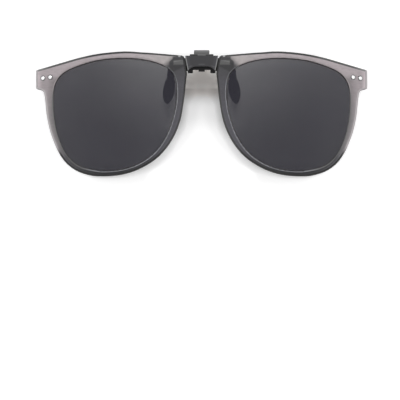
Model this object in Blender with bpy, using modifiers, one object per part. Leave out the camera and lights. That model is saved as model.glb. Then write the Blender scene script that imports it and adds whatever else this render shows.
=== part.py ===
"""Flip-up clip-on sunglasses, in metres.

X points right in the front view, Y towards the wearer and Z up. The origin is the middle of the
saddle face, where the clamp rests on the bridge of the glasses that carry it.
"""

import math
from typing import NamedTuple

import bmesh
import bpy
from mathutils import Matrix, Vector

# Lenses: width and height are what shows inside the rim
LENS_WIDTH = 0.0541
LENS_HEIGHT = 0.0492
LENS_SPACING = 0.0217
LENS_TOP_Z = 0.0050
LENS_THICKNESS = 0.0010
LENS_SEAT = 0.0006
LENS_CLEARANCE = 0.00025
WRAP_RADIUS = 0.260
LENS_RING_SHARES = (0.35, 0.7, 1.0)

# Rims
RIM_FACE = 0.0030
RIM_THICKNESS = 0.0024
RIM_EDGE_RADIUS = 0.00045
RIM_BEZEL = 0.00045
RIM_POINT_SPACING = 0.0026
SPAN_STEPS = 4
EDGE_STEPS = 2

# Right lens from its top, clockwise: across, up, and the rim's face width there
LENS_OUTLINE_SHARES = (
    (-0.171, 1.000, 1.00),
    (0.232, 0.971, 0.93),
    (0.557, 0.877, 1.12),
    (0.820, 0.747, 1.60),
    (0.964, 0.555, 2.00),
    (1.001, 0.292, 1.22),
    (0.986, -0.051, 1.03),
    (0.926, -0.374, 0.88),
    (0.800, -0.687, 0.80),
    (0.593, -0.896, 0.77),
    (0.329, -0.987, 0.76),
    (0.100, -1.000, 0.75),
    (-0.159, -0.961, 0.74),
    (-0.407, -0.860, 0.72),
    (-0.649, -0.668, 0.82),
    (-0.832, -0.386, 0.98),
    (-0.940, -0.078, 1.08),
    (-0.998, 0.233, 1.04),
    (-1.001, 0.527, 1.32),
    (-0.939, 0.742, 2.07),
    (-0.774, 0.877, 2.07),
    (-0.503, 0.967, 1.10),
)
END_PIECE_FIRST = 2
END_PIECE_LAST = 5
NOSE_CORNER_FIRST = 18
NOSE_CORNER_LAST = 21

# End pieces: the square lobes at the outer top corners
END_PIECE_REACH = 0.0076
END_PIECE_DROP = 0.0051
END_PIECE_HEIGHT = 0.0082
END_PIECE_STEP = 0.0034
END_PIECE_SLOPE = 0.0009
END_PIECE_TOP_RADIUS = 0.0005
END_PIECE_BOTTOM_RADIUS = 0.0007
END_PIECE_NOTCH_RADIUS = 0.0015
NOSE_CORNER_RADIUS = 0.0014
NOSE_BEND_RADIUS = 0.0030
NOSE_BEND_DROP = 0.0012

# Studs in the end pieces, placed from the end piece's top corner
STUD_INSETS = (0.0031, 0.0063)
STUD_DROPS = (0.0035, 0.0031)
STUD_HEAD_RADIUS = 0.0010
STUD_HEAD_HEIGHT = 0.00035
STUD_SHANK_RADIUS = 0.00055
STUD_SHANK_LENGTH = 0.0012

# Clearances
SEAT_GAP = 0.0002
RUNNING_GAP = 0.0003
BORE_CLEARANCE = 0.00006
CUT_OVERRUN = 0.0010
JOIN_OVERLAP = 0.0004

# Flip hinge
PIN_RADIUS = 0.0006
FLIP_AXIS_Y = -0.0049
FLIP_AXIS_Z = 0.00445
BARREL_RADIUS = 0.0024
BARREL_HALF = 0.00515
EAR_WIDTH = 0.0012
EAR_RADIUS = 0.0016
CAM_HALF = 0.0013
CAM_CORNER_RADIUS = 0.0006
CAM_HALF_WIDTH = 0.00145
CAM_NECK_HALF = 0.0010
CAM_CORNER_CLEARANCE = 0.00012
LEAF_THICKNESS = 0.0003
LEAF_HALF_WIDTH = 0.0024
LEAF_DROP = 0.0017
LEAF_RISE = 0.0014
LEAF_CORNER_RADIUS = 0.0004

# Bridge plate, between the rims
PLATE_TOP_Z = 0.0061
PLATE_BOTTOM_Z = -0.0006
PLATE_TOP_HALF = 0.0073
PLATE_BOTTOM_HALF = 0.0060
PLATE_THICKNESS = 0.0014
PLATE_BEVEL = 0.0003
PLATE_TOP_RADIUS = 0.0003
PLATE_TIP_RADIUS = 0.0003
PLATE_GAP = 0.00035
PLATE_LIP_REACH = 0.0009
PLATE_LIP_DROP = 0.0010
PLATE_LIP_THICKNESS = 0.0004
PLATE_LIP_RADIUS = 0.0003
ARCH_RISE = 0.0020
ARCH_SHARES = ((0.86, 0.40), (0.72, 0.74), (0.54, 0.95), (0.28, 1.0))

# Lugs of the bridge plate, which go into the rims, and their screws
LUG_REACH = 0.0050
LUG_BOTTOM_Z = 0.0015
LUG_TOP_Z = 0.0046
LUG_THICKNESS = 0.0010
LUG_CORNER_RADIUS = 0.0005
SCREW_SHANK_RADIUS = 0.0005
SCREW_HEAD_RADIUS = 0.0011
SCREW_HEAD_HEIGHT = 0.0005
SCREW_HEAD_SHARES = ((0.6, 1.0), (0.9, 0.7), (1.0, 0.3))
SCREW_SLOT = 0.0003

# Clamp: the saddle block and the jaw pivot
JAW_PIVOT_Y = 0.0005
JAW_PIVOT_Z = 0.0036
HUB_RADIUS = 0.0019
CHEEK_WIDTH = 0.0013
SADDLE_THICKNESS = 0.0012
SADDLE_BACK_Y = 0.0010
BLOCK_BACK_Y = -0.0018
BLOCK_TOP_Z = 0.0060
BLOCK_BEVEL = 0.00025

# Clamp arms: crossbars, legs and rubber pads
ARM_THICKNESS = 0.0012
FRONT_ARM_Y = -0.0040
REAR_ARM_Y = 0.0030
BAR_BOTTOM_Z = 0.0003
BAR_HEIGHT = 0.0021
BAR_CORNER_RADIUS = 0.0018
LEG_X = 0.0131
LEG_LEAN = 0.133
NECK_WIDTH = 0.0031
NUB_INNER_HALF = 0.0038
NUB_OUTER_HALF = 0.0060
NUB_DEPTH = 0.0015
MIDDLE_NUB_HALF = 0.00135
MIDDLE_NUB_DEPTH = 0.0008
NUB_RADIUS = 0.0003
ARM_BEVEL = 0.0002
FRONT_PAD_TOP = -0.0044
REAR_PAD_TOP = -0.0078
PAD_TIP_Z = -0.0149
FRONT_PAD_WIDTH = 0.0050
REAR_PAD_WIDTH = 0.0042
PAD_THICKNESS = 0.0024
PAD_WALL = 0.0004
PAD_BEVEL = 0.0004
PADS_REST_GAP = 0.0004
PAD_SHARES = (
    (0.00, 0.70),
    (0.14, 0.88),
    (0.30, 1.00),
    (0.48, 1.00),
    (0.66, 0.92),
    (0.80, 0.70),
    (0.92, 0.42),
)
CORE_END_SHARE = 0.84
PAD_STEPS = 3
BOW_TOP_Z = -0.0026
BOW_BOTTOM_Z = -0.0074
BOW_STEPS = 8

# Lever of the rear jaw and its cap
LEVER_Y = 0.00215
LEVER_THICKNESS = 0.00115
LEVER_BOTTOM_Z = 0.0005
LEVER_SHOULDER_Z = 0.0059
CAP_TOP_Z = 0.0088
CAP_HALF_WIDTH = 0.0034
CAP_THICKNESS = 0.0022
CAP_WALL = 0.0005
CAP_BEVEL = 0.0004
CAP_CORE_THICKNESS = 0.0008

# Torsion spring of the jaw, round its pin
WIRE_RADIUS = 0.0002
COIL_RADIUS = 0.00115
COIL_PITCH = 0.00087
COIL_TURNS = 3
COIL_POINTS = 10
SPRING_LEG = 0.0020
SPRING_FRONT_LEAN = 0.0007
SPRING_REAR_LEAN = 0.0007

FULL_TURN = 2 * math.pi
HALF_TURN = math.pi
QUARTER_TURN = math.pi / 2
ROUND_STEPS = 20
PIN_STEPS = 24
SHARP_ANGLE = math.radians(35)
BEVEL_STEPS = 2
FILLET_STEPS = 3
WELD = 0.000001

# What the driving sizes give
NECK_HALF = NECK_WIDTH / 2
WIRE_LEAST_GAP = COIL_PITCH - 2 * WIRE_RADIUS
BORE_RADIUS = PIN_RADIUS + BORE_CLEARANCE
LENS_CENTRE = Vector(((LENS_SPACING + LENS_WIDTH) / 2, LENS_TOP_Z - LENS_HEIGHT / 2))
PLATE_BACK_Y = FLIP_AXIS_Y - BARREL_RADIUS - RUNNING_GAP
FRONT_Y = PLATE_BACK_Y - PLATE_THICKNESS
EAR_INNER = BARREL_HALF + RUNNING_GAP
EAR_OUTER = EAR_INNER + EAR_WIDTH
CHEEK_INNER = BARREL_HALF - CHEEK_WIDTH
HUB_HALF = CHEEK_INNER - RUNNING_GAP
RIM_MIDDLE_Y = FRONT_Y + RIM_THICKNESS / 2
END_PIECE_X = LENS_SPACING / 2 + LENS_WIDTH + END_PIECE_REACH
END_PIECE_TOP_Z = LENS_TOP_Z - END_PIECE_DROP
LUG_END_X = PLATE_TOP_HALF + LUG_REACH
SCREW_X = PLATE_TOP_HALF + LUG_REACH / 2
SCREW_Z = (LUG_BOTTOM_Z + LUG_TOP_Z) / 2
CAM_SWEEP = (CAM_HALF - CAM_CORNER_RADIUS) * math.sqrt(2) + CAM_CORNER_RADIUS
LEAF_Y = FLIP_AXIS_Y + CAM_SWEEP + CAM_CORNER_CLEARANCE
SPRING_HALF = (COIL_TURNS + 0.5) * COIL_PITCH / 2
SPRING_SPACE_HALF = SPRING_HALF + WIRE_RADIUS + SEAT_GAP
BOW_DEPTH = REAR_ARM_Y - FRONT_ARM_Y - PAD_THICKNESS - PADS_REST_GAP


class Pad(NamedTuple):
    """Where a pad is and how wide."""

    y: float
    top: float
    width: float


FRONT_PAD = Pad(FRONT_ARM_Y, FRONT_PAD_TOP, FRONT_PAD_WIDTH)
REAR_PAD = Pad(REAR_ARM_Y - BOW_DEPTH, REAR_PAD_TOP, REAR_PAD_WIDTH)


# Outlines


def smooth_loop(points, steps):
    """Points along a closed Catmull-Rom curve through the given ones, steps to each span."""
    loop = []
    count = len(points)
    for i in range(count):
        before, start, end, after = (Vector(points[(i + k) % count]) for k in (-1, 0, 1, 2))
        for step in range(steps):
            t = step / steps
            loop.append(
                start
                + (end - before) * (t / 2)
                + (2 * before - 5 * start + 4 * end - after) * (t * t / 2)
                + (3 * start - 3 * end + after - before) * (t * t * t / 2)
            )
    return loop


def along(loop, place):
    """The point at a fractional index of a closed loop."""
    low = math.floor(place)
    return loop[low % len(loop)].lerp(loop[(low + 1) % len(loop)], place - low)


def outward(loop, i):
    """Unit normal of a clockwise loop at point i, and how much a mitre there is longer."""
    first = (loop[i] - loop[i - 1]).normalized()
    second = (loop[(i + 1) % len(loop)] - loop[i]).normalized()
    normal = Vector((-(first.y + second.y), first.x + second.x)).normalized()
    return normal, 1 / max(0.5, math.sqrt((1 + first.dot(second)) / 2))


def offset_loop(loop, distance):
    """The loop moved outwards by a distance, or inwards by a negative one."""
    moved = []
    for i, point in enumerate(loop):
        normal, mitre = outward(loop, i)
        moved.append(point + normal * distance * mitre)
    return moved


def arc(centre, radius, start, end, steps):
    """Points on an arc, by the angles of its ends."""
    angles = (start + (end - start) * k / steps for k in range(steps + 1))
    return [Vector(centre) + radius * Vector((math.cos(a), math.sin(a))) for a in angles]


def filleted(corners, steps=FILLET_STEPS, closed=True):
    """Points round a polygon whose corners are (x, y, radius)."""
    points = []
    count = len(corners)
    for i, (x, y, radius) in enumerate(corners):
        corner = Vector((x, y))
        end_of_path = not closed and i in (0, count - 1)
        if not radius or end_of_path:
            points.append(corner)
            continue
        back = (Vector(corners[i - 1][:2]) - corner).normalized()
        ahead = (Vector(corners[(i + 1) % count][:2]) - corner).normalized()
        half_angle = back.angle(ahead) / 2
        reach = radius / math.tan(half_angle)
        centre = corner + (back + ahead).normalized() * (radius / math.sin(half_angle))
        first = corner + back * reach - centre
        last = corner + ahead * reach - centre
        for k in range(steps + 1):
            points.append(centre + radius * first.slerp(last, k / steps).normalized())
    return points


def spaced(points, spacing):
    """An open path with its long straight stretches divided."""
    path = [points[0]]
    for start, end in zip(points, points[1:]):
        parts = max(1, round((end - start).length / spacing))
        path += [start.lerp(end, k / parts) for k in range(1, parts + 1)]
    return path


def rounded_box(low, high, radius, steps=FILLET_STEPS):
    """A rectangle with round corners, from its lowest and highest corner."""
    (x0, y0), (x1, y1) = low, high
    return filleted([(x0, y0, radius), (x0, y1, radius), (x1, y1, radius), (x1, y0, radius)], steps)


def both_sides(half):
    """A closed outline from its right half, given from top to bottom."""
    return half + [Vector((-p.x, p.y)) for p in reversed(half)]


# Blender objects


def clear_scene():
    for obj in list(bpy.data.objects):
        bpy.data.objects.remove(obj, do_unlink=True)


def collection(name):
    made = bpy.data.collections.new(name)
    bpy.context.scene.collection.children.link(made)
    return made


def material(name, colour, roughness, metallic=0.0, alpha=1.0):
    made = bpy.data.materials.new(name)
    made.use_nodes = True
    shader = made.node_tree.nodes["Principled BSDF"]
    shader.inputs["Base Color"].default_value = (*colour, 1.0)
    shader.inputs["Roughness"].default_value = roughness
    shader.inputs["Metallic"].default_value = metallic
    shader.inputs["Alpha"].default_value = alpha
    made.diffuse_color = (*colour, alpha)
    return made


def new_object(name, mesh):
    obj = bpy.data.objects.new(name, mesh)
    PARTS.objects.link(obj)
    return obj


def from_bmesh(name, bm):
    bmesh.ops.recalc_face_normals(bm, faces=bm.faces)
    mesh = bpy.data.meshes.new(name)
    bm.to_mesh(mesh)
    bm.free()
    return new_object(name, mesh)


def apply_modifiers(obj):
    """The object's mesh as its modifiers leave it, with no modifier left."""
    bpy.context.view_layer.update()
    evaluated = obj.evaluated_get(bpy.context.evaluated_depsgraph_get())
    obj.data = bpy.data.meshes.new_from_object(evaluated)
    obj.modifiers.clear()


def bevelled(obj, width):
    """Rounds the object's sharp edges."""
    bevel = obj.modifiers.new("round_edges", "BEVEL")
    bevel.width = width
    bevel.segments = BEVEL_STEPS
    bevel.limit_method = "ANGLE"
    bevel.angle_limit = SHARP_ANGLE
    apply_modifiers(obj)


def extruded(name, outline, axis, start, end, bevel=0.0):
    """A flat outline given depth from start to end along X, Y or Z. It holds (y, z), (x, z) or (x, y)."""
    turn = {
        "X": Matrix(((0, 0, 1), (1, 0, 0), (0, 1, 0))),
        "Y": Matrix(((1, 0, 0), (0, 0, 1), (0, 1, 0))),
        "Z": Matrix.Identity(3),
    }[axis]
    bm = bmesh.new()
    points = [bm.verts.new(turn @ Vector((*point, start))) for point in outline]
    bm.faces.new(points)
    bmesh.ops.remove_doubles(bm, verts=bm.verts, dist=WELD)
    grown = bmesh.ops.extrude_face_region(bm, geom=bm.faces[:])["geom"]
    ends = [vert for vert in grown if isinstance(vert, bmesh.types.BMVert)]
    bmesh.ops.translate(bm, verts=ends, vec=turn @ Vector((0, 0, end - start)))
    obj = from_bmesh(name, bm)
    if bevel:
        bevelled(obj, bevel)
    return obj


def box(name, low, high, bevel=0.0):
    bm = bmesh.new()
    bmesh.ops.create_cube(bm, size=1)
    size = Vector(high) - Vector(low)
    place = Matrix.Translation((Vector(low) + Vector(high)) / 2)
    bmesh.ops.transform(bm, matrix=place @ Matrix.Diagonal((*size, 1)), verts=bm.verts)
    obj = from_bmesh(name, bm)
    if bevel:
        bevelled(obj, bevel)
    return obj


def rod_x(name, radius, start, end, y, z, steps=PIN_STEPS):
    """A cylinder along X."""
    bm = bmesh.new()
    bmesh.ops.create_cone(
        bm, cap_ends=True, segments=steps, radius1=radius, radius2=radius, depth=end - start
    )
    turn = Matrix.Translation(((start + end) / 2, y, z)) @ Matrix.Rotation(QUARTER_TURN, 4, "Y")
    bmesh.ops.transform(bm, matrix=turn, verts=bm.verts)
    return from_bmesh(name, bm)


def turned(name, profile, steps=ROUND_STEPS):
    """A profile of (radius, height), top to bottom, turned about Z."""
    bm = bmesh.new()
    points = [bm.verts.new((radius, 0, height)) for radius, height in profile]
    for first, second in zip(points, points[1:]):
        bm.edges.new((first, second))
    mesh = bpy.data.meshes.new(name)
    bm.to_mesh(mesh)
    bm.free()
    obj = new_object(name, mesh)
    screw = obj.modifiers.new("turn", "SCREW")
    screw.steps = steps
    screw.render_steps = steps
    screw.use_merge_vertices = True
    screw.merge_threshold = WELD
    apply_modifiers(obj)
    return obj


def loft(name, loops, closed):
    """Skins loops of equal length, back to the first if closed, or with a middle point at each end."""
    bm = bmesh.new()
    rows = [[bm.verts.new(point) for point in loop] for loop in loops]
    pairs = list(zip(rows, rows[1:]))
    if closed:
        pairs.append((rows[-1], rows[0]))
    for first, second in pairs:
        for i in range(len(first)):
            k = (i + 1) % len(first)
            bm.faces.new((first[i], first[k], second[k], second[i]))
    if not closed:
        for row in (rows[0], rows[-1]):
            middle = bm.verts.new(sum((v.co for v in row), Vector()) / len(row))
            for i in range(len(row)):
                bm.faces.new((row[i], row[(i + 1) % len(row)], middle))
    return from_bmesh(name, bm)


def boolean(obj, other, operation):
    """Joins another object to this one or cuts it out, and removes the other."""
    modifier = obj.modifiers.new(operation.lower(), "BOOLEAN")
    modifier.operation = operation
    modifier.solver = "EXACT"
    modifier.object = other
    apply_modifiers(obj)
    bpy.data.objects.remove(other, do_unlink=True)


def join(obj, *others):
    for other in others:
        boolean(obj, other, "UNION")


def cut(obj, *others):
    """Cuts holes with cutters that stay in their own collection, as wire frames."""
    for other in others:
        PARTS.objects.unlink(other)
        CUTTERS.objects.link(other)
        other.hide_render = True
        other.display_type = "WIRE"
        modifier = obj.modifiers.new(other.name, "BOOLEAN")
        modifier.operation = "DIFFERENCE"
        modifier.solver = "EXACT"
        modifier.object = other


def move_vertices(obj, place):
    """Moves each vertex of the object to where the function puts it."""
    for vertex in obj.data.vertices:
        vertex.co = place(vertex.co)
    obj.data.update()
    return obj


def wrapped(obj):
    """Gives a flat front its wrap, as part of a large sphere behind it."""
    bm = bmesh.new()
    bm.from_mesh(obj.data)
    bmesh.ops.triangulate(bm, faces=bm.faces)
    bm.to_mesh(obj.data)
    bm.free()
    return move_vertices(obj, lambda p: p + Vector((0, (p.x**2 + p.z**2) / (2 * WRAP_RADIUS), 0)))


def bowed(obj, middle_y):
    """Bends a flat arm forwards between two heights, so that the rear pads meet the front ones."""
    bm = bmesh.new()
    bm.from_mesh(obj.data)
    height = BOW_TOP_Z - BOW_BOTTOM_Z
    for k in range(BOW_STEPS + 1):
        level = Vector((0, 0, BOW_BOTTOM_Z + height * k / BOW_STEPS))
        geometry = bm.verts[:] + bm.edges[:] + bm.faces[:]
        bmesh.ops.bisect_plane(bm, geom=geometry, dist=WELD, plane_co=level, plane_no=(0, 0, 1))
    bmesh.ops.triangulate(bm, faces=bm.faces)
    bm.to_mesh(obj.data)
    bm.free()

    def place(point):
        t = min(1, max(0, (BOW_TOP_Z - point.z) / height))
        slope = BOW_DEPTH * 6 * t * (1 - t) / height
        aside = (point.y - middle_y) / math.hypot(1, slope)
        y = middle_y - BOW_DEPTH * t * t * (3 - 2 * t) + aside
        return Vector((point.x, y, point.z - slope * aside))

    return move_vertices(obj, place)


def mirrored(obj, name):
    """A copy on the other side of the YZ plane."""
    bm = bmesh.new()
    bm.from_mesh(obj.data)
    bmesh.ops.transform(bm, matrix=Matrix.Scale(-1, 4, (1, 0, 0)), verts=bm.verts)
    bmesh.ops.reverse_faces(bm, faces=bm.faces)
    mesh = bpy.data.meshes.new(name)
    bm.to_mesh(mesh)
    bm.free()
    return new_object(name, mesh)


def pair(make, name):
    """The right-hand piece and its mirror image."""
    right = make(f"{name}_right")
    return right, mirrored(right, f"{name}_left")


def finished(obj, slot, pivot=None):
    """Material, smooth shading and, for a moving piece, its pivot as the parent."""
    obj.data.materials.clear()
    obj.data.materials.append(MATERIALS[slot])
    obj.data.shade_smooth()
    obj.data.set_sharp_from_angle(angle=SHARP_ANGLE)
    if pivot:
        obj.parent = pivot
        obj.matrix_parent_inverse = pivot.matrix_world.inverted()
    return obj


def pivot_empty(name, place):
    empty = bpy.data.objects.new(name, None)
    empty.location = place
    empty.empty_display_size = BARREL_HALF
    PARTS.objects.link(empty)
    bpy.context.view_layer.update()
    return empty


# Rims and lenses


def lens_point(across, up, face):
    """A row of the outline table as x, z and the rim's face width."""
    x = LENS_CENTRE.x + across * LENS_WIDTH / 2
    return Vector((x, LENS_CENTRE.y + up * LENS_HEIGHT / 2, face * RIM_FACE))


def plate_half_at(z):
    """Half the bridge plate's width at a height, on its sloping side."""
    share = (z - PLATE_BOTTOM_Z) / (PLATE_TOP_Z - PLATE_BOTTOM_Z)
    return PLATE_BOTTOM_HALF + share * (PLATE_TOP_HALF - PLATE_BOTTOM_HALF)


def rim_loops():
    """The lens opening and the rim's outer outline, point for point, clockwise from the top."""
    table = smooth_loop([lens_point(*row) for row in LENS_OUTLINE_SHARES], SPAN_STEPS)
    opening = [p.xy for p in table]
    outside = []
    for i, point in enumerate(opening):
        normal, _ = outward(opening, i)
        outside.append(point + normal * table[i].z)
    start, end = END_PIECE_FIRST * SPAN_STEPS, END_PIECE_LAST * SPAN_STEPS
    bottom_z = END_PIECE_TOP_Z - END_PIECE_HEIGHT
    end_piece = [
        (*outside[start], 0),
        (END_PIECE_X, END_PIECE_TOP_Z, END_PIECE_TOP_RADIUS),
        (END_PIECE_X, bottom_z, END_PIECE_BOTTOM_RADIUS),
        (END_PIECE_X - END_PIECE_STEP, bottom_z - END_PIECE_SLOPE, END_PIECE_NOTCH_RADIUS),
        (*outside[end], 0),
    ]
    nose_start, nose_end = NOSE_CORNER_FIRST * SPAN_STEPS, NOSE_CORNER_LAST * SPAN_STEPS
    bend_z = PLATE_BOTTOM_Z - NOSE_BEND_DROP
    nose_corner = [
        (*outside[nose_start], 0),
        (plate_half_at(PLATE_BOTTOM_Z) + PLATE_GAP, bend_z, NOSE_BEND_RADIUS),
        (plate_half_at(PLATE_TOP_Z) + PLATE_GAP, PLATE_TOP_Z, NOSE_CORNER_RADIUS),
        (*outside[nose_end], 0),
    ]
    inner, outer = [], []
    for first, last, corners in (
        (start, end, end_piece),
        (nose_start, nose_end, nose_corner),
    ):
        path = spaced(filleted(corners, closed=False), RIM_POINT_SPACING)
        inner += opening[len(inner) and end + 1 : first] if inner else opening[:first]
        outer += outside[end + 1 : first] if outer else outside[:first]
        steps = len(path) - 1
        inner += [along(opening, first + (last - first) * k / steps) for k in range(steps + 1)]
        outer += path
    return inner + opening[nose_end + 1 :], outer + outside[nose_end + 1 :]


def rim_rings(inner, outer):
    """The rim's section, as outline, distance outwards and depth behind the front face."""
    groove_half = LENS_THICKNESS / 2 + LENS_CLEARANCE
    groove_depth = LENS_SEAT + LENS_CLEARANCE
    middle = RIM_THICKNESS / 2
    rings = [(inner, RIM_BEZEL, 0)]
    rounding = []
    for k in range(EDGE_STEPS + 1):
        angle = QUARTER_TURN * k / EDGE_STEPS
        inset = RIM_EDGE_RADIUS * (1 - math.sin(angle))
        rounding.append((inset, RIM_EDGE_RADIUS * (1 - math.cos(angle))))
    rings += [(outer, -inset, depth) for inset, depth in rounding]
    rings += [(outer, -inset, RIM_THICKNESS - depth) for inset, depth in reversed(rounding)]
    rings += [
        (inner, RIM_BEZEL, RIM_THICKNESS),
        (inner, 0, RIM_THICKNESS - RIM_BEZEL),
        (inner, 0, middle + groove_half),
        (inner, groove_depth, middle + groove_half),
        (inner, groove_depth, middle - groove_half),
        (inner, 0, middle - groove_half),
        (inner, 0, RIM_BEZEL),
    ]
    return [
        [(p.x, FRONT_Y + depth, p.y) for p in offset_loop(loop, distance)]
        for loop, distance, depth in rings
    ]


def make_rim(name):
    return wrapped(loft(name, rim_rings(*rim_loops()), closed=True))


def make_lens(name):
    """A thin curved shell that fills the opening and reaches into the groove."""
    edge = offset_loop(rim_loops()[0], LENS_SEAT)
    loops = []
    faces = ((LENS_RING_SHARES, -LENS_THICKNESS), (tuple(reversed(LENS_RING_SHARES)), LENS_THICKNESS))
    for shares, side in faces:
        for share in shares:
            ring = [LENS_CENTRE.lerp(p, share) for p in edge]
            loops.append([(p.x, RIM_MIDDLE_Y + side / 2, p.y) for p in ring])
    return wrapped(loft(name, loops, closed=False))


def on_front(obj, x, z, y):
    """Stands a turned piece, made along Z, with its top to the front, at a place on the wrapped rims."""
    wrap = (x**2 + z**2) / (2 * WRAP_RADIUS)
    slope_x, slope_z = x / WRAP_RADIUS, z / WRAP_RADIUS
    lean = Matrix.Rotation(math.atan(slope_x), 4, "Z") @ Matrix.Rotation(-math.atan(slope_z), 4, "X")
    turn = Matrix.Translation((x, y + wrap, z)) @ lean @ Matrix.Rotation(QUARTER_TURN, 4, "X")
    obj.data.transform(turn)
    return obj


def make_stud(name, x, z):
    """A round-headed stud. Its head lies on the end piece."""
    rise = STUD_HEAD_HEIGHT
    dome = [
        (STUD_HEAD_RADIUS * math.sin(a), SEAT_GAP / 2 + rise * math.cos(a))
        for a in (QUARTER_TURN * k / 4 for k in range(5))
    ]
    profile = dome + [
        (STUD_SHANK_RADIUS, SEAT_GAP / 2),
        (STUD_SHANK_RADIUS, -STUD_SHANK_LENGTH),
        (0, -STUD_SHANK_LENGTH),
    ]
    return on_front(turned(name, profile), x, z, FRONT_Y)


def stud_hole(name, x, z):
    profile = [
        (0, CUT_OVERRUN),
        (STUD_SHANK_RADIUS + SEAT_GAP, CUT_OVERRUN),
        (STUD_SHANK_RADIUS + SEAT_GAP, -STUD_SHANK_LENGTH - SEAT_GAP),
        (0, -STUD_SHANK_LENGTH - SEAT_GAP),
    ]
    return on_front(turned(name, profile), x, z, FRONT_Y)


def lug_socket(name, side):
    """The hollow in a rim that takes the bracket's lug."""
    start = plate_half_at(LUG_BOTTOM_Z) - CUT_OVERRUN
    outline = rounded_box(
        (start, LUG_BOTTOM_Z - SEAT_GAP),
        (LUG_END_X + SEAT_GAP, LUG_TOP_Z + SEAT_GAP),
        LUG_CORNER_RADIUS,
    )
    half = LUG_THICKNESS / 2 + SEAT_GAP
    cutter = extruded(name, outline, "Y", RIM_MIDDLE_Y - half, RIM_MIDDLE_Y + half)
    if side < 0:
        right = cutter
        cutter = mirrored(right, name)
        bpy.data.objects.remove(right, do_unlink=True)
    return wrapped(cutter)


def screw_profile(length):
    top = SEAT_GAP / 2
    return [
        (0, top + SCREW_HEAD_HEIGHT),
        *((SCREW_HEAD_RADIUS * out, top + SCREW_HEAD_HEIGHT * up) for out, up in SCREW_HEAD_SHARES),
        (SCREW_HEAD_RADIUS, top),
        (SCREW_SHANK_RADIUS, top),
        (SCREW_SHANK_RADIUS, -length),
        (0, -length),
    ]


def at_screw(obj, side):
    """Stands a turned piece, made along Z, with its top on the back of a rim, over the lug."""
    wrap = (SCREW_X**2 + SCREW_Z**2) / (2 * WRAP_RADIUS)
    place = Matrix.Translation((side * SCREW_X, FRONT_Y + RIM_THICKNESS + wrap, SCREW_Z))
    obj.data.transform(place @ Matrix.Rotation(-QUARTER_TURN, 4, "X"))
    return obj


def screw_depth():
    """From the back of the rim to the middle of the lug."""
    return RIM_THICKNESS / 2 + LUG_THICKNESS / 4


def make_screw(name, side):
    screw = turned(name, screw_profile(screw_depth()))
    slot_low = (-SCREW_HEAD_RADIUS - SEAT_GAP, -SCREW_SLOT / 2, SCREW_HEAD_HEIGHT / 2 + SEAT_GAP)
    slot_high = (SCREW_HEAD_RADIUS + SEAT_GAP, SCREW_SLOT / 2, SCREW_HEAD_HEIGHT + CUT_OVERRUN)
    boolean(screw, box("slot", slot_low, slot_high), "DIFFERENCE")
    return at_screw(screw, side)


def screw_hole(name, side):
    radius = SCREW_SHANK_RADIUS + BORE_CLEARANCE
    depth = screw_depth() + BORE_CLEARANCE
    profile = [(0, CUT_OVERRUN), (radius, CUT_OVERRUN), (radius, -depth), (0, -depth)]
    return at_screw(turned(name, profile), side)


# Bridge bracket


def plate_outline():
    """The trapezoid plate with the arch in its lower edge."""
    right = filleted(
        [
            (0, PLATE_TOP_Z, 0),
            (PLATE_TOP_HALF, PLATE_TOP_Z, PLATE_TOP_RADIUS),
            (PLATE_BOTTOM_HALF, PLATE_BOTTOM_Z, PLATE_TIP_RADIUS),
            (PLATE_BOTTOM_HALF * ARCH_SHARES[0][0], PLATE_BOTTOM_Z + ARCH_RISE * ARCH_SHARES[0][1], 0),
        ],
        closed=False,
    )[1:-1]
    arch = [
        Vector((PLATE_BOTTOM_HALF * across, PLATE_BOTTOM_Z + ARCH_RISE * up))
        for across, up in ARCH_SHARES
    ]
    return both_sides(right + arch)


def make_plate_lip(name):
    """The strip behind the plate's right edge that shuts the gap to the rim. The ear carries it."""
    inner = (EAR_INNER + EAR_OUTER) / 2
    top_z = PLATE_TOP_Z - PLATE_LIP_DROP
    outline = filleted(
        [
            (inner, top_z, 0),
            (plate_half_at(top_z) + PLATE_LIP_REACH, top_z, PLATE_LIP_RADIUS),
            (PLATE_BOTTOM_HALF + PLATE_LIP_REACH, PLATE_BOTTOM_Z, PLATE_LIP_RADIUS),
            (inner, PLATE_BOTTOM_Z, 0),
        ]
    )
    lip_y = FRONT_Y + RIM_THICKNESS + SEAT_GAP
    return extruded(name, outline, "Y", lip_y, lip_y + PLATE_LIP_THICKNESS)


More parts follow.
